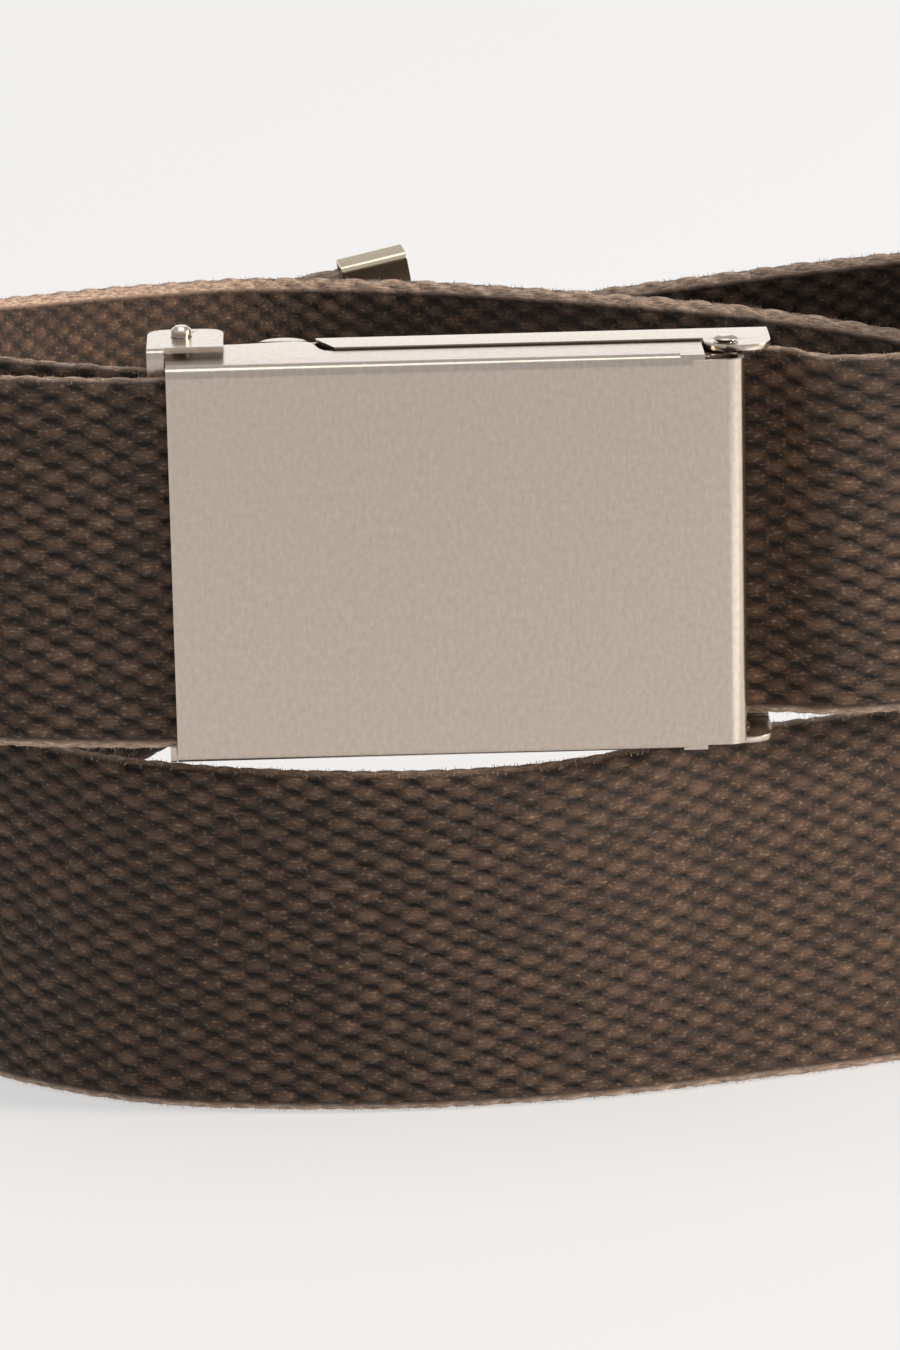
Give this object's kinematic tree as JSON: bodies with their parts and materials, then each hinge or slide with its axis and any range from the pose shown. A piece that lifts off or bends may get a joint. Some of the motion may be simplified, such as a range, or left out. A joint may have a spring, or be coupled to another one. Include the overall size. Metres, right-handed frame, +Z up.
{
  "type": "webbing belt with flip-top buckle",
  "caption": "Woven webbing belt with a flip-top metal buckle and a metal strap tip, fastened and standing on edge in a wound loop.",
  "frame": {"origin": "middle of the belt's base, on the surface that its lower turn stands on", "axes": "+X to the right of the buckle's face, +Y from the buckle's face to the back of the loop, +Z up"},
  "size_m": [0.1624, 0.1224, 0.0828],
  "materials": {
    "webbing": "coarse plain weave",
    "satin_nickel": "satin",
    "tip_nickel": "satin"
  },
  "bodies": {
    "frame": {"webbing_strap": "webbing", "buckle_base": "satin_nickel", "hinge_rivet_top": "satin_nickel", "hinge_rivet_bottom": "satin_nickel", "strap_clamp": "satin_nickel", "clamp_pin": "satin_nickel", "end_tip": "tip_nickel"},
    "cover": {"buckle_cover": "satin_nickel"}
  },
  "joints": [
    {"name": "cover_hinge", "type": "hinge", "parent": "frame", "child": "cover", "pos_m": [0.01616, -0.05605, 0.06027], "axis": [0, 0, 1], "range_deg": [0, 90]}
  ]
}
